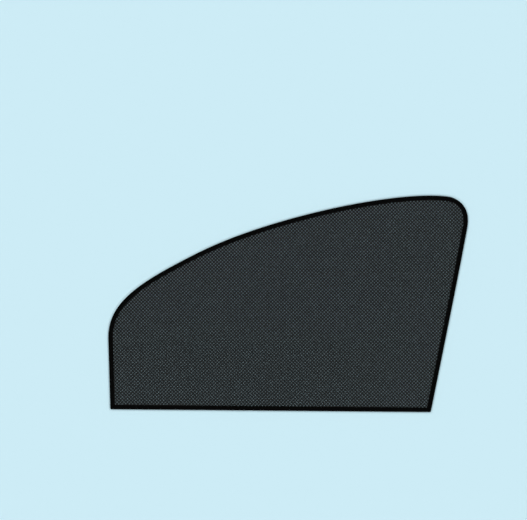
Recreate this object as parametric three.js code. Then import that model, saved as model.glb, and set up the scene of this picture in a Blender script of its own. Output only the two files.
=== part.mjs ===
// Car side window sunshade: a dark mesh panel stretched in a sprung wire loop, with a folded
// tape binding sewn round the edge and flat magnets sewn into the binding.
//
// Frame: millimetres. The shade lies flat on its back. +X runs along the straight bottom edge
// towards the tall rear end, +Y runs up the window, +Z is the face seen by the viewer.
// The origin is the middle of the bounding box in X and Y, with z = 0 on the lowest face.
import * as THREE from "three";

// ---- window outline: outer edge of the binding, counter-clockwise ----
const BOTTOM_FRONT = [-394.2, -241.7]; // sharp corner at the low end
const BOTTOM_REAR = [320.8, -241.7]; // sharp corner at the tall end
const REAR_TOP = [398.7, 170.8]; // where the leaning rear edge meets the rounded top corner
const ROOF_REAR = [359.1, 238.9]; // where the rounded corner meets the roof curve
const ROOF_FRONT = [-204.4, 107.9]; // where the roof curve steepens towards the front
const FRONT_TOP = [-400.1, -85.8]; // where the front curve meets the short front edge
const REAR_HANDLES = [[340.9, -137.7], [386.1, 94.6]];
const CORNER_HANDLES = [[408.6, 230.0], [361.2, 238.5]];
const ROOF_HANDLES = [[253.7, 255.3], [-40.2, 192.3]];
const FRONT_HANDLES = [[-334.7, 41.0], [-403.2, -3.7]];
const STEPS = { bottom: 8, rear: 8, corner: 14, roof: 24, front: 18, left: 3 };

// ---- binding: a 24 mm tape folded in half over the wire ----
const THICK = 3.6; // whole thickness of the sewn edge
const MID = THICK / 2; // height of the mesh, the wire and the fold
const LEAF = 0.5; // thickness of the tape
const BORDER = 10.2; // width of the folded tape
const POCKET_END = 7.3; // the two leaves stay apart as far as this from the edge
const SEAM = 9.05; // distance of the stitch line from the edge

// ---- mesh panel ----
const MESH_T = 0.36;
const MESH_INSET = 3.2; // its cut edge lies beside the wire, inside the fold
const MESH_CORNER_R = 2.6;

// ---- wire loop and the sleeve that joins its ends ----
const WIRE_D = 1.8;
const WIRE_INSET = 1.8;
const WIRE_BEND_R = 4.0; // centreline radius at the two bottom corners
const SLEEVE_OD = 2.5;
const SLEEVE_ID = 1.9;
const SLEEVE_L = 24;
const SLEEVE_X = -60; // middle of the sleeve on the bottom edge
const WIRE_END_GAP = 1.0;

// ---- magnets ----
const MAGNET = { length: 20, width: 4, thick: 1.0 };
const MAGNET_INSET = 5.25; // its centreline from the edge
const MAGNET_LIFT = 0.08; // clear of the mesh below it
const MAGNETS = [
  ["bottom", 0.1],
  ["bottom", 0.92],
  ["rear", 0.25],
  ["rear", 0.74],
  ["roof", 0.09],
  ["roof", 0.37],
  ["roof", 0.65],
  ["roof", 0.93],
  ["front", 0.5],
  ["left", 0.5],
];

// ---- stitches ----
const THREAD_W = 0.4;
const THREAD_H = 0.26;
const GROOVE = 0.12; // depth that the stitches pull into the tape

const v2 = (a) => new THREE.Vector2(a[0], a[1]);
const edges = {
  bottom: new THREE.LineCurve(v2(BOTTOM_FRONT), v2(BOTTOM_REAR)),
  rear: new THREE.CubicBezierCurve(v2(BOTTOM_REAR), v2(REAR_HANDLES[0]), v2(REAR_HANDLES[1]), v2(REAR_TOP)),
  corner: new THREE.CubicBezierCurve(v2(REAR_TOP), v2(CORNER_HANDLES[0]), v2(CORNER_HANDLES[1]), v2(ROOF_REAR)),
  roof: new THREE.CubicBezierCurve(v2(ROOF_REAR), v2(ROOF_HANDLES[0]), v2(ROOF_HANDLES[1]), v2(ROOF_FRONT)),
  front: new THREE.CubicBezierCurve(v2(ROOF_FRONT), v2(FRONT_HANDLES[0]), v2(FRONT_HANDLES[1]), v2(FRONT_TOP)),
  left: new THREE.LineCurve(v2(FRONT_TOP), v2(BOTTOM_FRONT)),
};
const order = Object.keys(edges);

// The outline as stations: a point on the edge, and the inward step that one millimetre of
// inset makes there. At the two sharp corners that step is the mitre of both edges.
const inward = (t) => new THREE.Vector2(-t.y, t.x);
const stations = [];
order.forEach((name, k) => {
  const curve = edges[name];
  const before = edges[order[(k + order.length - 1) % order.length]];
  for (let i = 0; i < STEPS[name]; i++) {
    const u = i / STEPS[name];
    const p = curve.getPointAt(u);
    let step = inward(curve.getTangentAt(u));
    if (i === 0) {
      const other = inward(before.getTangentAt(1));
      step = step.clone().add(other).divideScalar(1 + step.dot(other));
    }
    stations.push({ p, step });
  }
});

const box = new THREE.Box2().setFromPoints(stations.map((s) => s.p));
const centre = box.getCenter(new THREE.Vector2());
for (const s of stations) s.p.sub(centre);
const at = (s, inset) => s.p.clone().addScaledVector(s.step, inset);

// A closed section of [inset, height] points carried once round the outline.
function carried(section) {
  const n = section.length;
  const rings = stations.length;
  const position = [];
  for (const s of stations)
    for (const [d, z] of section) {
      const q = at(s, d);
      position.push(q.x, q.y, z);
    }
  const index = [];
  for (let i = 0; i < rings; i++) {
    const a = i * n;
    const b = ((i + 1) % rings) * n;
    for (let j = 0; j < n; j++) {
      const k = (j + 1) % n;
      index.push(a + j, b + k, b + j, a + j, a + k, b + k);
    }
  }
  const g = new THREE.BufferGeometry();
  g.setAttribute("position", new THREE.Float32BufferAttribute(position, 3));
  g.setIndex(index);
  g.computeVertexNormals();
  return g;
}

// Section of the folded tape: round nose over the wire, two flat leaves over the pocket,
// and both leaves drawn down to the mesh at the stitch line. Seen with the panel at the right.
const arc = (r, from, to, n) =>
  Array.from({ length: n + 1 }, (_, i) => {
    const a = from + ((to - from) * i) / n;
    return [WIRE_INSET + r * Math.cos(a), MID + r * Math.sin(a)];
  });
const lip = MESH_T / 2 + 0.05; // inner faces of the lips, from the middle plane
const upperOutside = [
  [BORDER, MID + lip + LEAF - 0.03],
  [SEAM + 0.35, MID + lip + LEAF],
  [SEAM + 0.15, MID + lip + LEAF - GROOVE],
  [SEAM - 0.15, MID + lip + LEAF - GROOVE],
  [SEAM - 0.35, MID + lip + LEAF + 0.05],
  [POCKET_END + 0.2, THICK - 0.1],
  [POCKET_END - 0.4, THICK],
];
const upperInside = [
  [POCKET_END, THICK - LEAF],
  [SEAM - 0.45, MID + lip],
  [BORDER, MID + lip],
];
const mirrored = (list) => list.map(([d, z]) => [d, THICK - z]).reverse();
const tape = [
  ...upperOutside,
  ...arc(MID, Math.PI / 2, (3 * Math.PI) / 2, 8),
  ...mirrored(upperOutside),
  ...mirrored(upperInside),
  ...arc(MID - LEAF, (3 * Math.PI) / 2, Math.PI / 2, 6),
  ...upperInside,
];

// The lockstitch seam shows one thread on each face, in the small groove it pulls in the tape.
function thread(z) {
  const h = THREAD_H / 2;
  const w = THREAD_W / 2;
  return [
    [SEAM - w, z],
    [SEAM - w / 2, z - h],
    [SEAM + w / 2, z - h],
    [SEAM + w, z],
    [SEAM + w / 2, z + h],
    [SEAM - w / 2, z + h],
  ];
}
const threadTop = MID + lip + LEAF - GROOVE + THREAD_H / 2 + 0.03;

// The mesh panel is the outline moved inward, with its two sharp corners rounded.
function panelShape() {
  const pts = [];
  const last = stations.length;
  stations.forEach((s, i) => {
    const q = at(s, MESH_INSET);
    if (s.step.length() < 1.1) {
      pts.push(q);
      return;
    }
    const before = at(stations[(i + last - 1) % last], MESH_INSET).sub(q).normalize();
    const after = at(stations[(i + 1) % last], MESH_INSET).sub(q).normalize();
    const half = Math.acos(before.dot(after)) / 2;
    const mid = before.clone().add(after).normalize();
    const c = q.clone().addScaledVector(mid, MESH_CORNER_R / Math.sin(half));
    const p0 = q.clone().addScaledVector(before, MESH_CORNER_R / Math.tan(half)).sub(c);
    const sweep = Math.PI - 2 * half;
    for (let k = 0; k <= 4; k++) pts.push(p0.clone().rotateAround(new THREE.Vector2(), (sweep * k) / 4).add(c));
  });
  return new THREE.Shape(pts);
}

// The wire's centreline, from one end in the sleeve round the outline to the other end.
class Bent extends THREE.Curve {
  constructor(points, tangents) {
    super();
    this.points = points;
    this.tangents = tangents;
  }
  pick(u) {
    return Math.round(u * (this.points.length - 1));
  }
  getPoint(u) {
    return this.points[this.pick(u)].clone();
  }
  getPointAt(u) {
    return this.getPoint(u);
  }
  getTangentAt(u) {
    return this.tangents[this.pick(u)].clone();
  }
}
function wirePath() {
  const points = [];
  const tangents = [];
  const add = (p, t) => {
    points.push(new THREE.Vector3(p.x, p.y, MID));
    tangents.push(new THREE.Vector3(t.x, t.y, 0).normalize());
  };
  const yBottom = stations[0].p.y + WIRE_INSET;
  const along = new THREE.Vector2(1, 0);
  add(new THREE.Vector2(SLEEVE_X + WIRE_END_GAP / 2, yBottom), along);
  const n = stations.length;
  for (let k = 1; k <= n; k++) {
    const i = k % n;
    const s = stations[i];
    const q = at(s, WIRE_INSET);
    if (s.step.length() < 1.1) {
      if (k < STEPS.bottom && q.x < SLEEVE_X + SLEEVE_L) continue;
      add(q, new THREE.Vector2(s.step.y, -s.step.x));
      continue;
    }
    const before = at(stations[(i + n - 1) % n], WIRE_INSET).sub(q).normalize();
    const after = at(stations[(i + 1) % n], WIRE_INSET).sub(q).normalize();
    const half = Math.acos(before.dot(after)) / 2;
    const mid = before.clone().add(after).normalize();
    const c = q.clone().addScaledVector(mid, WIRE_BEND_R / Math.sin(half));
    const p0 = q.clone().addScaledVector(before, WIRE_BEND_R / Math.tan(half)).sub(c);
    const sweep = Math.PI - 2 * half;
    for (let m = 0; m <= 6; m++) {
      const r = p0.clone().rotateAround(new THREE.Vector2(), (sweep * m) / 6);
      add(r.clone().add(c), new THREE.Vector2(-r.y, r.x));
    }
  }
  for (let i = 1; i < STEPS.bottom; i++) {
    const q = at(stations[i], WIRE_INSET);
    if (q.x < SLEEVE_X - SLEEVE_L) add(q, along);
  }
  add(new THREE.Vector2(SLEEVE_X - WIRE_END_GAP / 2, yBottom), along);
  return new Bent(points, tangents);
}

const fabric = (color, roughness) => new THREE.MeshStandardMaterial({ color, roughness, metalness: 0 });
const metal = (color, roughness) => new THREE.MeshStandardMaterial({ color, roughness, metalness: 1 });

const shade = new THREE.Group();
function piece(name, geometry, material) {
  const m = new THREE.Mesh(geometry, material);
  m.name = name;
  shade.add(m);
  return m;
}

const panel = new THREE.ExtrudeGeometry(panelShape(), { depth: MESH_T, bevelEnabled: false, steps: 1 });
piece("mesh_panel", panel, fabric(0x23282a, 0.9)).position.z = MID - MESH_T / 2;

piece("edge_binding", carried(tape), fabric(0x040505, 0.85));
piece("needle_thread", carried(thread(threadTop)), fabric(0x060707, 0.7));
piece("bobbin_thread", carried(thread(THICK - threadTop)), fabric(0x060707, 0.7));

const path = wirePath();
const round = new THREE.Shape();
round.absarc(0, 0, WIRE_D / 2, 0, 2 * Math.PI);
const wire = new THREE.ExtrudeGeometry(round, {
  steps: path.points.length - 1,
  curveSegments: 5,
  extrudePath: path,
});
piece("frame_wire", wire, metal(0x8c8f92, 0.35));

const sleeve = new THREE.LatheGeometry(
  [
    new THREE.Vector2(SLEEVE_ID / 2, -SLEEVE_L / 2),
    new THREE.Vector2(SLEEVE_OD / 2 - 0.15, -SLEEVE_L / 2),
    new THREE.Vector2(SLEEVE_OD / 2, -SLEEVE_L / 2 + 0.15),
    new THREE.Vector2(SLEEVE_OD / 2, SLEEVE_L / 2 - 0.15),
    new THREE.Vector2(SLEEVE_OD / 2 - 0.15, SLEEVE_L / 2),
    new THREE.Vector2(SLEEVE_ID / 2, SLEEVE_L / 2),
    new THREE.Vector2(SLEEVE_ID / 2, -SLEEVE_L / 2),
  ],
  24,
);
const ferrule = piece("wire_ferrule", sleeve, metal(0x9a9c9e, 0.4));
ferrule.rotation.z = -Math.PI / 2;
ferrule.position.set(SLEEVE_X, stations[0].p.y + WIRE_INSET, MID);

// Flat bar magnets with small bevelled edges, each turned along its stretch of the border.
const bar = new THREE.Shape();
const c = 0.4;
const [hl, hw] = [MAGNET.length / 2, MAGNET.width / 2];
bar.moveTo(-hl + c, -hw);
bar.lineTo(hl - c, -hw);
bar.lineTo(hl, -hw + c);
bar.lineTo(hl, hw - c);
bar.lineTo(hl - c, hw);
bar.lineTo(-hl + c, hw);
bar.lineTo(-hl, hw - c);
bar.lineTo(-hl, -hw + c);
bar.closePath();
MAGNETS.forEach(([edge, u], i) => {
  const p = edges[edge].getPointAt(u).sub(centre);
  const t = edges[edge].getTangentAt(u);
  p.addScaledVector(inward(t), MAGNET_INSET);
  const g = new THREE.ExtrudeGeometry(bar, { depth: MAGNET.thick, bevelEnabled: false, steps: 1 });
  const m = piece("magnet_" + String(i + 1).padStart(2, "0"), g, metal(0xa9abad, 0.25));
  m.rotation.z = Math.atan2(t.y, t.x);
  m.position.set(p.x, p.y, MID + MESH_T / 2 + MAGNET_LIFT);
});

export default shade;
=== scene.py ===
import math

import bpy
import numpy as np
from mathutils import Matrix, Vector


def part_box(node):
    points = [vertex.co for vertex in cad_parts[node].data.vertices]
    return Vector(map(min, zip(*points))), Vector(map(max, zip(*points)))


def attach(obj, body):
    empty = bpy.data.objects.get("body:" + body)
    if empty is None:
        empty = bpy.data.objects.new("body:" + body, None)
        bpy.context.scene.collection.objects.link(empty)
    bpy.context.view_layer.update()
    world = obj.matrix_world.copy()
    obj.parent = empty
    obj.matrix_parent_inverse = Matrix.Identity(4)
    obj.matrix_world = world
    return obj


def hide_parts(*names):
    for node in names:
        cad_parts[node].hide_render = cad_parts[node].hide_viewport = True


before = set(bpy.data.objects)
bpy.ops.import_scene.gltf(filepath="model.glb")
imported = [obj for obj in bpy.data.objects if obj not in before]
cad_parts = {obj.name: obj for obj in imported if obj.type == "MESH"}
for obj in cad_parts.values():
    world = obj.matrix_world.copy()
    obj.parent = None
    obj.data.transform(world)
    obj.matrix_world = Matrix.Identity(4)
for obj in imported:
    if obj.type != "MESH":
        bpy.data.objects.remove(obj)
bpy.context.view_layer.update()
MM = 0.001

# ---------------------------------------------------------------- sizes
BOTTOM_FRONT, BOTTOM_REAR = (-394.2, -241.7), (320.8, -241.7)
REAR_TOP, ROOF_REAR = (398.7, 170.8), (359.1, 238.9)
ROOF_FRONT, FRONT_TOP = (-204.4, 107.9), (-400.1, -85.8)
EDGES = {
    "bottom": [BOTTOM_FRONT, BOTTOM_REAR],
    "rear": [BOTTOM_REAR, (340.9, -137.7), (386.1, 94.6), REAR_TOP],
    "corner": [REAR_TOP, (408.6, 230.0), (361.2, 238.5), ROOF_REAR],
    "roof": [ROOF_REAR, (253.7, 255.3), (-40.2, 192.3), ROOF_FRONT],
    "front": [ROOF_FRONT, (-334.7, 41.0), (-403.2, -3.7), FRONT_TOP],
    "left": [FRONT_TOP, BOTTOM_FRONT],
}
THICK, LEAF, BORDER = 3.6, 0.5, 10.2      # sewn edge, tape, width of the folded tape
MID = THICK / 2
SEAM = 9.05                               # stitch line, from the outer edge
WIRE_INSET = 1.8
CORNER_R = 2.4                            # the fold's own roundness at the two sharp corners
MITRE_REACH = 20.0                        # length over which the tape's weave turns into the mitre
STITCH = 3.6                              # stitch length
MAGNETS = [("bottom", 0.1), ("bottom", 0.92), ("rear", 0.25), ("rear", 0.74), ("roof", 0.09),
           ("roof", 0.37), ("roof", 0.65), ("roof", 0.93), ("front", 0.5), ("left", 0.5)]
MAGNET_HALF = 10.0
TACK = 12.6                               # bar tacks, from the middle of each magnet

# net: two sets of flat yarns that cross, over and under
NET_INSET = 3.4                           # where its cut edge lies inside the fold
PITCH = 5.4511
YARN_W, YARN_T = 3.05, 0.66
NET_ACROSS = (math.radians(45.455), math.radians(135.565))
NET_OFFSET = (0.2828, 0.1742)

# view: the frame is 527 x 520 pixels, and one pixel is 2.2312 mm on the shade
PX = 2.2312
VIEW_TURN = 8.899e-03
LENS, SENSOR = 85.0, 36.0


# ---------------------------------------------------------------- outline
def bezier(c, t):
    t = t[:, None]
    p = [np.array(q, float) for q in c]
    if len(p) == 2:
        return p[0] * (1 - t) + p[1] * t, np.repeat((p[1] - p[0])[None], len(t), 0)
    a, b, d, e = p
    pos = a * (1 - t) ** 3 + 3 * b * t * (1 - t) ** 2 + 3 * d * t * t * (1 - t) + e * t ** 3
    tan = 3 * (b - a) * (1 - t) ** 2 + 6 * (d - b) * t * (1 - t) + 3 * (e - d) * t * t
    return pos, tan


def inward(tan):
    return np.stack([-tan[:, 1], tan[:, 0]], 1)


class Outline:
    """The outer edge of the border, counter-clockwise, by length along it."""

    def __init__(self):
        t = np.linspace(0, 1, 4001)
        self.tables = []
        for c in EDGES.values():
            pos, _ = bezier(c, t)
            s = np.concatenate([[0], np.cumsum(np.linalg.norm(np.diff(pos, axis=0), axis=1))])
            self.tables.append((c, t, s))
        self.starts = np.concatenate([[0], np.cumsum([x[2][-1] for x in self.tables])])
        self.length = self.starts[-1]
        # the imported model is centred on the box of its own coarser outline
        lo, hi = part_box("edge_binding")
        pos, _ = self.raw(np.linspace(0, self.length, 20000, endpoint=False))
        self.centre = (pos.min(0) + pos.max(0)) / 2 - np.array([lo.x + hi.x, lo.y + hi.y]) / 2 / MM

    def raw(self, s):
        s = np.asarray(s, float)
        k = np.clip(np.searchsorted(self.starts, s, side="right") - 1, 0, len(self.tables) - 1)
        pos, tan = np.zeros((len(s), 2)), np.zeros((len(s), 2))
        for i, (c, t, tab) in enumerate(self.tables):
            m = k == i
            if m.any():
                pos[m], tan[m] = bezier(c, np.interp(s[m] - self.starts[i], tab, t))
        return pos, tan / np.linalg.norm(tan, axis=1)[:, None]

    def at(self, s):
        pos, tan = self.raw(np.asarray(s, float) % self.length)
        return pos - self.centre, tan

    def along(self, edge, u):
        k = list(EDGES).index(edge)
        return self.starts[k] + u * self.tables[k][2][-1]


OUT = Outline()


class Sharp:
    """A sharp corner of the outline: its point, and the directions before and after it."""

    def __init__(self, s):
        p, t1 = OUT.raw(np.array([s + 1e-6]))
        _, t0 = OUT.raw(np.array([(s if s > 0 else OUT.length) - 1e-6]))
        self.p, self.t0, self.t1 = p[0] - OUT.centre, t0[0], t1[0]
        self.n0, self.n1 = inward(t0)[0], inward(t1)[0]
        self.cot = math.tan(math.acos(float(self.t0 @ self.t1)) / 2)
        self.centre = self.p + CORNER_R * (self.n1 + self.cot * self.t1)

    def rounded(self, x, inset):
        """Points at that inset, moved onto the round of the corner."""
        w = x - self.centre
        far = np.linalg.norm(w, axis=-1)
        m = (w @ self.t1 < 0) & (w @ self.t0 > 0) & (inset < CORNER_R) & (far < 3 * CORNER_R)
        k = np.where(m, (CORNER_R - inset) / np.maximum(far, 1e-9), 1.0)
        return self.centre + w * k[..., None]


FRONT_LOW, REAR_LOW = Sharp(0.0), Sharp(float(OUT.starts[1]))
RUNS = [(0.0, float(OUT.starts[1]), FRONT_LOW, REAR_LOW), (float(OUT.starts[1]), float(OUT.length), REAR_LOW, FRONT_LOW)]


class Run:
    """One stretch of border between the sharp corners, by length along its stitch line."""

    def __init__(self, s0, s1, first, last):
        self.s = np.arange(s0, s1, 0.05)
        self.s = np.append(self.s, s1)
        pos, tan = OUT.raw(np.clip(self.s, s0 + 1e-6, s1 - 1e-6))
        self.p, self.t, self.n = pos - OUT.centre, tan, inward(tan)
        a = np.clip(1 - (self.s - s0) / MITRE_REACH, 0, 1) * first.cot
        b = np.clip(1 - (s1 - self.s) / MITRE_REACH, 0, 1) * last.cot
        self.step = self.n + (a - b)[:, None] * self.t
        seam = self.p + self.step * SEAM
        self.q = np.concatenate([[0], np.cumsum(np.linalg.norm(np.diff(seam, axis=0), axis=1))])
        self.stitches = round(self.q[-1] / STITCH)
        self.q *= self.stitches / self.q[-1]

    def at(self, phase):
        """Outer length, outer point, inward step and direction at a number of stitches along."""
        f = lambda a: np.stack([np.interp(phase, self.q, a[:, i]) for i in range(2)], 1)
        return np.interp(phase, self.q, self.s), f(self.p), f(self.step), f(self.t)


RUNS = [Run(*r) for r in RUNS]


# ---------------------------------------------------------------- small helpers
def ripple(s, seed, waves, lo, hi):
    """A smooth uneven line from -1 to 1 round the closed outline, with wavelengths lo to hi."""
    rng = np.random.default_rng(seed)
    out = np.zeros_like(s)
    for _ in range(waves):
        n = max(1, round(OUT.length / rng.uniform(lo, hi)))
        out += np.sin(2 * np.pi * (n * s / OUT.length + rng.random()))
    return out / math.sqrt(waves) * 0.7


def smooth(x):
    x = np.clip(x, 0, 1)
    return x * x * (3 - 2 * x)


def mesh_object(name, verts, faces, uvs=None):
    """verts in millimetres; faces as arrays of equal polygons, uvs as one array for each of them."""
    me = bpy.data.meshes.new(name)
    loops = np.concatenate([np.asarray(g, np.int32).ravel() for g in faces])
    sizes = np.concatenate([np.full(len(g), g.shape[1], np.int32) for g in faces])
    starts = np.concatenate([[0], np.cumsum(sizes)[:-1]]).astype(np.int32)
    me.vertices.add(len(verts))
    me.vertices.foreach_set("co", (np.asarray(verts, float) * MM).astype(np.float32).ravel())
    me.loops.add(len(loops))
    me.loops.foreach_set("vertex_index", loops)
    me.polygons.add(len(sizes))
    me.polygons.foreach_set("loop_start", starts)
    me.polygons.foreach_set("loop_total", sizes)
    me.update(calc_edges=True)
    me.polygons.foreach_set("use_smooth", np.ones(len(sizes), bool))
    if uvs is not None:
        layer = me.uv_layers.new(name="uv")
        layer.data.foreach_set("uv", np.concatenate([np.asarray(u, np.float32).reshape(-1, 2) for u in uvs]).ravel())
    me.validate()
    ob = bpy.data.objects.new(name, me)
    bpy.context.scene.collection.objects.link(ob)
    return ob


def loft(rings, closed, base=0):
    """Quads over an array of rings [ring, point]; closed joins the last ring to the first."""
    n, m = rings
    k = np.arange(n if closed else n - 1)[:, None]
    j = np.arange(m)[None]
    j2, k2 = (j + 1) % m, (k + 1) % n
    return np.stack([k * m + j, k * m + j2, k2 * m + j2, k2 * m + j], 2).reshape(-1, 4) + base


# ---------------------------------------------------------------- materials
class Nodes:
    """A Principled material and short ways to add nodes to it."""

    def __init__(self, name, base, roughness, specular=0.5, metallic=0.0, sheen=0.0, sheen_roughness=0.5):
        self.mat = bpy.data.materials.new(name)
        self.mat.use_nodes = True
        self.tree = self.mat.node_tree
        self.p = self.tree.nodes["Principled BSDF"]
        self.p.inputs["Base Color"].default_value = (*base, 1)
        self.p.inputs["Roughness"].default_value = roughness
        self.p.inputs["Specular IOR Level"].default_value = specular
        self.p.inputs["Metallic"].default_value = metallic
        self.p.inputs["Sheen Weight"].default_value = sheen
        self.p.inputs["Sheen Roughness"].default_value = sheen_roughness

    def put(self, socket, value):
        if isinstance(value, bpy.types.NodeSocket):
            self.tree.links.new(value, socket)
        else:
            socket.default_value = value

    def math(self, op, a, b=None):
        n = self.tree.nodes.new("ShaderNodeMath")
        n.operation = op
        self.put(n.inputs[0], a)
        if b is not None:
            self.put(n.inputs[1], b)
        return n.outputs[0]

    def uv(self):
        n = self.tree.nodes.new("ShaderNodeUVMap")
        n.uv_map = "uv"
        x = self.tree.nodes.new("ShaderNodeSeparateXYZ")
        self.tree.links.new(n.outputs[0], x.inputs[0])
        return x.outputs[0], x.outputs[1]

    def noise(self, scale, detail=3.0, stretch=(1, 1, 1)):
        c = self.tree.nodes.new("ShaderNodeTexCoord")
        m = self.tree.nodes.new("ShaderNodeMapping")
        m.inputs["Scale"].default_value = stretch
        n = self.tree.nodes.new("ShaderNodeTexNoise")
        n.inputs["Scale"].default_value = scale
        n.inputs["Detail"].default_value = detail
        self.tree.links.new(c.outputs["Object"], m.inputs[0])
        self.tree.links.new(m.outputs[0], n.inputs["Vector"])
        return n.outputs["Fac"]

    def wave(self, x, per, shift=0.0):
        """sin squared of x over per, from 0 to 1."""
        s = self.math("SINE", self.math("ADD", self.math("MULTIPLY", x, math.pi / per), shift))
        return self.math("MULTIPLY", s, s)

    def mix(self, fac, a, b):
        n = self.tree.nodes.new("ShaderNodeMix")
        n.data_type = "RGBA"
        self.put(n.inputs[0], fac)
        self.put(n.inputs[6], (*a, 1) if isinstance(a, tuple) else a)
        self.put(n.inputs[7], (*b, 1) if isinstance(b, tuple) else b)
        return n.outputs[2]

    def bump(self, height, distance, strength=1.0):
        n = self.tree.nodes.new("ShaderNodeBump")
        n.inputs["Distance"].default_value = distance
        n.inputs["Strength"].default_value = strength
        self.tree.links.new(height, n.inputs["Height"])
        self.tree.links.new(n.outputs[0], self.p.inputs["Normal"])

    def range(self, x, a, b, c, d):
        n = self.tree.nodes.new("ShaderNodeMapRange")
        for i, v in enumerate((x, a, b, c, d)):
            self.put(n.inputs[i], v)
        return n.outputs[0]


def yarn_material():
    """Dark filament yarn with painted light and shade: painted shade where two yarns lie over each other and less light
    comes through, painted light on the single yarn between crossings, and random tone on top.
    """
    m = Nodes("net_yarn", YARN_SPAN_PAINTED_LIGHT, 0.8, specular=YARN_SPEC, sheen=0.015)
    u, v = m.uv()
    # painted shade: the base colour darkens towards each crossing of the yarns and is lighter between them
    crossing_shade_mask = m.math("MULTIPLY", m.math("ADD", m.math("COSINE", m.math("MULTIPLY", v, 2 * math.pi)), 1.0), 0.5)
    uneven = m.noise(900.0, 2.0)
    painted_shade_and_tone = m.math("ADD", m.math("MULTIPLY", crossing_shade_mask, 0.95), m.math("MULTIPLY", m.math("SUBTRACT", uneven, 0.5), 0.2))
    m.put(m.p.inputs["Base Color"], m.mix(m.math("MAXIMUM", painted_shade_and_tone, 0.0), YARN_SPAN_PAINTED_LIGHT, YARN_CROSSING_PAINTED_SHADE))
    fibres = m.wave(m.math("ADD", u, m.math("MULTIPLY", v, 0.11)), 1 / 12)
    m.bump(m.math("ADD", fibres, m.noise(4200.0, 2.0)), 0.00006, 0.7)
    m.put(m.p.inputs["Roughness"], m.range(uneven, 0.3, 0.7, 0.72, 0.88))
    return m.mat


def tape_material():
    """Close-woven black tape: fine ribs across it and thin warp lines along it."""
    m = Nodes("binding_tape", TAPE, 0.85, specular=TAPE_SPEC, sheen=0.02, sheen_roughness=0.4)
    u, v = m.uv()
    worn = m.noise(160.0, 4.0)
    m.put(m.p.inputs["Base Color"], m.mix(m.range(worn, 0.35, 0.7, 0.0, 1.0), tuple(c * 0.8 for c in TAPE), tuple(c * 1.5 for c in TAPE)))
    weft = m.wave(v, 0.55)
    warp = m.wave(m.math("ADD", u, m.math("MULTIPLY", weft, 0.06)), 0.42)
    weave = m.math("ADD", m.math("MULTIPLY", weft, 0.6), m.math("MULTIPLY", warp, 0.4))
    m.bump(m.math("ADD", weave, m.math("MULTIPLY", m.noise(2600.0, 2.0), 0.5)), 0.00008, 0.8)
    m.put(m.p.inputs["Roughness"], m.range(worn, 0.3, 0.7, 0.78, 0.9))
    return m.mat


def thread_material():
    """Twisted polyester sewing thread."""
    m = Nodes("sewing_thread", THREAD, 0.5, specular=0.12)
    u, v = m.uv()
    m.bump(m.wave(m.math("ADD", u, m.math("MULTIPLY", v, 1.6)), 1 / 3), 0.00005, 0.8)
    m.put(m.p.inputs["Base Color"], m.mix(m.noise(700.0, 2.0), THREAD, tuple(c * 1.6 for c in THREAD)))
    return m.mat


def metal_material(name, base, roughness, stretch):
    m = Nodes(name, base, roughness, metallic=1.0)
    fine = m.noise(2500.0, 3.0, stretch)
    m.put(m.p.inputs["Roughness"], m.range(fine, 0.3, 0.7, roughness - 0.06, roughness + 0.1))
    m.put(m.p.inputs["Base Color"], m.mix(m.noise(120.0, 3.0), base, tuple(c * 0.86 for c in base)))
    m.bump(fine, 0.00002, 0.4)
    return m.mat


# the yarn's two colours are painted light between crossings and painted shade at the crossings
YARN_SPAN_PAINTED_LIGHT, YARN_CROSSING_PAINTED_SHADE, YARN_SPEC = (0.0300, 0.0300, 0.0296), (0.0022, 0.0108, 0.0134), 0.04
TAPE, TAPE_SPEC = (0.0008, 0.0009, 0.0009), 0.03
THREAD = (0.0016, 0.0017, 0.0017)


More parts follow.
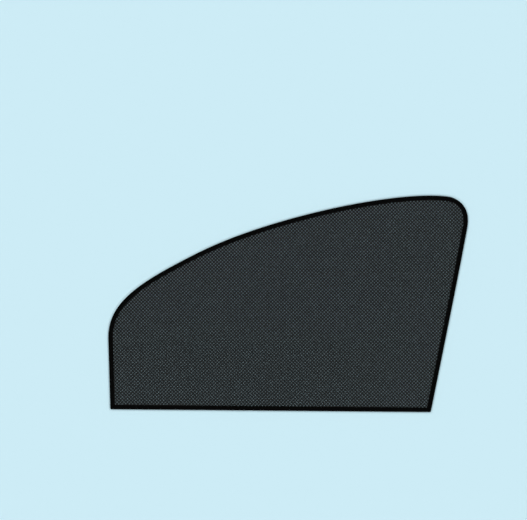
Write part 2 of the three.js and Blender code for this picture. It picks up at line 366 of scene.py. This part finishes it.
# ---------------------------------------------------------------- net
def build_net():
    g = np.array([[math.cos(a), math.sin(a)] for a in NET_ACROSS])
    back = np.linalg.inv(g)
    s = np.linspace(0, OUT.length, 6000, endpoint=False)
    pos, tan = OUT.at(s)
    rim = pos + inward(tan) * NET_INSET
    # drop the stretches that run past each other at the two sharp corners
    near = np.sqrt(((rim[:, None, :] - pos[None, ::6, :]) ** 2).sum(2).min(1))
    rim = rim[near > NET_INSET - 0.05] @ g.T / PITCH - np.array(NET_OFFSET)
    rng = np.random.default_rng(7)
    amp = YARN_T / 2 * 1.03
    V, F, UV = [], [], []
    count = 0
    for run in (0, 1):
        # yarns of this set lie along axis `run` of the lattice, at whole numbers of the other axis
        a, b = rim[:, run], rim[:, 1 - run]
        a2, b2 = np.roll(a, -1), np.roll(b, -1)
        for i in range(math.ceil(b.min() + 0.06), math.floor(b.max() - 0.06) + 1):
            m = (b - i) * (b2 - i) < 0
            if m.sum() < 2:
                continue
            cut = a[m] + (i - b[m]) / (b2[m] - b[m]) * (a2[m] - a[m])
            x0, x1 = cut.min(), cut.max()
            js = np.arange(math.ceil(x0 + 0.1), math.floor(x1 - 0.1) + 1)
            x = np.concatenate([[x0], js, [x1]])
            z = np.concatenate([[0], np.where((js + i + run) % 2 == 0, 1.0, -1.0), [0]])
            n = len(x)
            w = YARN_W / 2 / PITCH * (1 + rng.normal(0, 0.012, n))
            y = i + rng.normal(0, 0.003, n)
            ring = np.zeros((n, 4, 3))
            side = 1 if run == 0 else -1
            for q, (du, dz) in enumerate(((-1, 0), (0, 1), (1, 0), (0, -1))):
                ring[:, q, run] = x
                ring[:, q, 1 - run] = y + side * du * w
                ring[:, q, 2] = z * amp + dz * YARN_T / 2
            V.append(ring.reshape(-1, 3))
            F.append(loft((n, 4), False, count)[:, ::-1])
            u = np.array([[0, 0.25, 0.25, 0], [0.25, 0.5, 0.5, 0.25], [0.5, 0.75, 0.75, 0.5], [0.75, 1, 1, 0.75]])
            uv = np.zeros((n - 1, 4, 4, 2))
            uv[..., 0] = u[None]
            uv[..., 1] = np.stack([x[:-1], x[:-1], x[1:], x[1:]], 1)[:, None, :]
            UV.append(uv.reshape(-1, 4, 2)[:, ::-1])
            last = count + (n - 1) * 4
            F.append(np.array([[count, count + 1, count + 2, count + 3], [last + 3, last + 2, last + 1, last]]))
            UV.append(np.full((2, 4, 2), 0.5))
            count += n * 4
    V = np.concatenate(V)
    V[:, :2] = (V[:, :2] + np.array(NET_OFFSET)) * PITCH @ back.T
    # flat between the lips of the border, full depth further in
    d = np.zeros(len(V))
    edge = pos[::3]
    for i in range(0, len(V), 4000):
        d[i:i + 4000] = np.sqrt(((V[i:i + 4000, None, :2] - edge[None]) ** 2).sum(2).min(1))
    V[:, 2] = MID + V[:, 2] * (0.3 + 0.7 * smooth((d - BORDER) / 4.5))
    return mesh_object("net", V, F, UV)


# ---------------------------------------------------------------- border
MAGNET_S = np.array([OUT.along(e, u) for e, u in MAGNETS])
TACK_S = np.concatenate([MAGNET_S - TACK, MAGNET_S + TACK])
LAP = (float(OUT.along("bottom", 0.40)), 17.0)    # where the tape's two ends overlap


def away(s, centres):
    """Distance along the outline from the nearest of those places."""
    d = np.abs(s[:, None] - centres[None])
    return np.minimum(d, OUT.length - d).min(1)


def pocket_sag(s):
    """How far the upper leaf lies lower over the empty pocket, and the pull of the bar tacks."""
    empty = smooth((away(s, MAGNET_S) - MAGNET_HALF) / 5.0)
    return 0.30 * empty * (1 + 0.3 * ripple(s, 3, 5, 30, 90)), 0.38 * np.exp(-(away(s, TACK_S) / 1.1) ** 2)


ARC = lambda r, a, b, n: [(WIRE_INSET + r * math.cos(t), MID + r * math.sin(t)) for t in np.linspace(a, b, n + 1)]
# inset, height, share of the pocket's sag, share of the stitch's pull
UPPER = [(10.20, 2.36, 0, 0), (10.02, 2.53, 0, 0.1), (9.45, 2.54, 0, 0.45), (SEAM, 2.53, 0, 1), (8.65, 2.57, 0, 0.5),
         (7.95, 3.12, 0.1, 0.3), (7.20, 3.54, 0.5, 0.15), (5.10, 3.60, 1, 0), (3.15, 3.60, 0.75, 0)]
INNER = [(1.8, 3.1, 0), (4.6, 3.1, 0.6), (7.3, 3.1, 0.3), (8.6, 2.03, 0), (10.2, 2.03, 0)]


def build_border():
    V, S, W = [], [], []
    for run in RUNS:
        n = run.stitches
        ph = np.arange(4 * n) / 4
        fine = np.concatenate([np.arange(24) / 4, n - 6 + np.arange(24) / 4]) + 0.125
        ph = np.sort(np.concatenate([ph, fine]))
        s, p, step, t = run.at(ph)
        pull = 0.06 + 0.15 * np.cos(np.pi * ph) ** 8
        sag, tack = pocket_sag(s)
        lap = smooth((LAP[1] / 2 - np.abs(s - LAP[0])) / 0.8 + 0.5)
        wavy = ripple(s, 5, 8, 12, 60)
        lift = 0.05 * ripple(s, 9, 6, 10, 40)
        mitre = np.exp(-(np.minimum(s - run.s[0], run.s[-1] - s) / 1.3) ** 2)
        cols = []
        for i, z, a, b in UPPER:
            ins = i + (0.07 * wavy if i > 9.9 else 0)
            h = z - a * (sag + tack) - b * pull - 0.22 * mitre * (i > 3) + 0.32 * lap + lift * (a > 0)
            cols.append((ins + 0 * s, h))
        for i, z in ARC(MID, math.pi / 2, 3 * math.pi / 2, 6):
            cols.append((i + 0 * s, z + 0.32 * lap * max(0, (z - MID) / MID)))
        for i, z, a, b in reversed(UPPER):
            ins = i + (0.07 * wavy if i > 9.9 else 0)
            cols.append((ins + 0 * s, THICK - z + a * (0.35 * sag + 0.6 * tack) + b * pull + 0.12 * mitre * (i > 3)))
        for i, z, a in reversed(INNER[1:]):
            cols.append((i + 0 * s, THICK - z + a * 0.35 * sag))
        for i, z in ARC(MID - LEAF, 3 * math.pi / 2, math.pi / 2, 4):
            cols.append((i + 0 * s, z + 0 * s))
        for i, z, a in INNER[1:]:
            cols.append((i + 0 * s, z - a * sag))
        ins = np.stack([c[0] for c in cols], 1)
        hgt = np.stack([c[1] for c in cols], 1)
        xy = p[:, None, :] + step[:, None, :] * ins[..., None]
        for corner in (FRONT_LOW, REAR_LOW):
            xy = corner.rounded(xy, ins)
        V.append(np.concatenate([xy, hgt[..., None]], 2))
        S.append(s)
        W.append(ins)
    V, S = np.concatenate(V), np.concatenate(S)
    rings, m = V.shape[:2]
    across = np.concatenate([[0], np.cumsum(np.linalg.norm(np.diff(V[0], axis=0), axis=1)),
                             [np.linalg.norm(np.diff(V[0], axis=0), axis=1).sum() + np.linalg.norm(V[0, -1] - V[0, 0])]])
    faces = loft((rings, m), True)
    s2 = np.append(S[1:], OUT.length)
    uv = np.zeros((rings, m, 4, 2))
    uv[..., 0] = np.stack([across[:-1], across[1:], across[1:], across[:-1]], 1)[None]
    uv[..., 1] = np.stack([S, S, s2, s2], 1)[:, None, :]
    return mesh_object("border", V.reshape(-1, 3), [faces], [uv])


# ---------------------------------------------------------------- stitches
def tubes(paths, radius, sides=6):
    """Closed round threads along an array of paths [thread, point, xyz]."""
    n, m = paths.shape[:2]
    tan = np.gradient(paths, axis=1)
    tan /= np.linalg.norm(tan, axis=2)[..., None]
    side = np.cross(tan, np.array([0, 0, 1.0]))
    side /= np.linalg.norm(side, axis=2)[..., None]
    up = np.cross(side, tan)
    a = np.arange(sides) * 2 * math.pi / sides
    ring = paths[:, :, None] + radius * (np.cos(a)[None, None, :, None] * side[:, :, None] + np.sin(a)[None, None, :, None] * up[:, :, None])
    one = loft((m, sides), False)
    faces = (one[None] + (np.arange(n) * m * sides)[:, None, None]).reshape(-1, 4)
    first = (np.arange(sides)[None] + (np.arange(n) * m * sides)[:, None])
    last = first[:, ::-1] + (m - 1) * sides
    k = np.repeat(np.arange(m - 1), sides)
    j = np.tile(np.arange(sides), m - 1)
    v = np.linalg.norm(np.diff(paths[0], axis=0), axis=1)
    v = np.concatenate([[0], np.cumsum(v)])
    uv = np.stack([np.stack([j / sides, v[k]], 1), np.stack([(j + 1) / sides, v[k]], 1),
                   np.stack([(j + 1) / sides, v[k + 1]], 1), np.stack([j / sides, v[k + 1]], 1)], 1)
    uv = np.tile(uv[None], (n, 1, 1, 1)).reshape(-1, 4, 2)
    return ring.reshape(-1, 3), faces[:, ::-1], np.concatenate([first, last]), uv[:, ::-1]


def build_thread(name, face):
    """face 1 is the front, -1 the back. Each stitch dips into its two needle holes."""
    rng = np.random.default_rng(11 + face)
    V, F, UV, base = [], [], [], 0

    def add(paths, radius):
        nonlocal base
        paths[..., 2] = MID + face * (paths[..., 2] - MID)
        v, quads, caps, uv = tubes(paths, radius)
        V.append(v)
        F.extend([quads + base, caps + base])
        UV.extend([uv, np.zeros((len(caps), 6, 2))])
        base += len(v)

    share = np.array([0.03, 0.12, 0.28, 0.5, 0.72, 0.88, 0.97])
    rise = np.array([2.16, 2.44, 2.585, 2.62, 2.585, 2.44, 2.16])
    for run in RUNS:
        ph = np.arange(run.stitches)[:, None] + share[None]
        s, p, step, t = run.at(ph.ravel())
        n = np.stack([-t[:, 1], t[:, 0]], 1)
        slant = (share - 0.5)[None] * 0.22 + rng.normal(0, 0.025, (run.stitches, 1))
        xy = (p + step * SEAM).reshape(run.stitches, 7, 2) + n.reshape(run.stitches, 7, 2) * slant[..., None]
        z = np.tile(rise[None], (run.stitches, 1)) + rng.normal(0, 0.012, (run.stitches, 1))
        lap = smooth((LAP[1] / 2 - np.abs(s - LAP[0])) / 0.8 + 0.5).reshape(run.stitches, 7)
        add(np.concatenate([xy, (z + (0.32 * lap if face > 0 else 0))[..., None]], 2), 0.19)
    # bar tacks beside the magnets: a short dense zigzag across the pocket
    across = np.linspace(3.5, 7.1, 6)
    height = np.array([2.95, 3.22, 3.25, 3.22, 3.05, 2.75]) if face > 0 else np.array([3.10, 3.36, 3.38, 3.35, 3.15, 2.85])
    paths = []
    for c in TACK_S:
        for i in range(5):
            a, b = (i - 2.25) * 0.42, (i - 1.75) * 0.42
            if i % 2:
                a, b = b, a
            pos, tan = OUT.at(c + np.linspace(a, b, 6))
            paths.append(np.concatenate([pos + inward(tan) * across[:, None], height[:, None]], 1))
    add(np.array(paths), 0.16)
    return mesh_object(name, np.concatenate(V), F, UV)


# ---------------------------------------------------------------- the pieces
net = build_net()
net.data.materials.append(yarn_material())
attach(net, "root")
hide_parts("mesh_panel")

border = build_border()
border.data.materials.append(tape_material())
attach(border, "root")
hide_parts("edge_binding")

thread_mat = thread_material()
for name, face, node in (("needle_stitches", 1, "needle_thread"), ("bobbin_stitches", -1, "bobbin_thread")):
    ob = build_thread(name, face)
    ob.data.materials.append(thread_mat)
    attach(ob, "root")
    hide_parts(node)

wire_mat = metal_material("spring_steel", (0.42, 0.43, 0.44), 0.34, (1, 1, 1))
sleeve_mat = metal_material("sleeve_steel", (0.55, 0.56, 0.57), 0.4, (0.2, 1, 1))
magnet_mat = metal_material("magnet_nickel", (0.66, 0.66, 0.65), 0.24, (1, 1, 1))
for n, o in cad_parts.items():
    mat = wire_mat if n == "frame_wire" else sleeve_mat if n == "wire_ferrule" else magnet_mat if n.startswith("magnet") else None
    if mat:
        o.data.materials.clear()
        o.data.materials.append(mat)

# ---------------------------------------------------------------- floor, light and camera
R = 150.0
FLOOR = (0.610, 0.839, 0.922)
floor_mesh = bpy.data.meshes.new("floor")
floor_mesh.from_pydata([(-R, -R, 0), (R, -R, 0), (R, R, 0), (-R, R, 0)], [], [(0, 1, 2, 3)])
floor = bpy.data.objects.new("floor", floor_mesh)
floor.location.z = -0.00002
bpy.context.scene.collection.objects.link(floor)
floor_mesh.materials.append(Nodes("pale_floor", FLOOR, 0.9, specular=0.0).mat)

# light: an even room, as pale as the floor near the horizon, and four large soft lamps at its
# corners, together as bright as lights a white floor to full white
LAMPS, TILT, SOFT = 0.68, 56.5, 11.0
HORIZON = 0.0277                          # the pale band's share of what the floor gets
world = bpy.data.worlds.new("studio")
bpy.context.scene.world = world
world.use_nodes = True
wt = world.node_tree
way, xyz = wt.nodes.new("ShaderNodeTexCoord"), wt.nodes.new("ShaderNodeSeparateXYZ")
up, band, blend = wt.nodes.new("ShaderNodeMath"), wt.nodes.new("ShaderNodeMapRange"), wt.nodes.new("ShaderNodeMix")
up.operation, band.interpolation_type, blend.data_type = "ABSOLUTE", "SMOOTHSTEP", "RGBA"
for i, v in enumerate((0.08, 0.24, 0.0, 1.0)):
    band.inputs[i + 1].default_value = v
blend.inputs[6].default_value = (*FLOOR, 1)
blend.inputs[7].default_value = (*((1 - LAMPS - HORIZON * c) / (1 - HORIZON) for c in FLOOR), 1)
for a, b in ((way.outputs["Generated"], xyz.inputs[0]), (xyz.outputs[2], up.inputs[0]), (up.outputs[0], band.inputs[0]),
             (band.outputs[0], blend.inputs[0]), (blend.outputs[2], wt.nodes["Background"].inputs["Color"])):
    wt.links.new(a, b)
for i in range(4):
    data = bpy.data.lights.new("lamp_%d" % (i + 1), "SUN")
    data.energy = LAMPS * math.pi / 4 / math.cos(math.radians(TILT))
    data.angle = math.radians(SOFT)
    lamp = bpy.data.objects.new(data.name, data)
    lamp.rotation_euler = (math.radians(TILT), 0, math.radians(45.5 + 90 * i))
    bpy.context.scene.collection.objects.link(lamp)

scene = bpy.context.scene
scene.view_settings.view_transform = "Standard"
scene.view_settings.look = "None"

cam_data = bpy.data.cameras.new("camera")
cam_data.lens, cam_data.sensor_width = LENS, SENSOR
cam = bpy.data.objects.new("camera", cam_data)
scene.collection.objects.link(cam)
scene.camera = cam
cam_data.clip_start, cam_data.clip_end = 0.05, 1000
# straight above, on the middle of the frame, which isn't the shade's own middle
cam.location = (-0.05532, 0.09452, (527 * PX * LENS / SENSOR + MID) * MM)
cam.rotation_euler = (0, 0, VIEW_TURN)
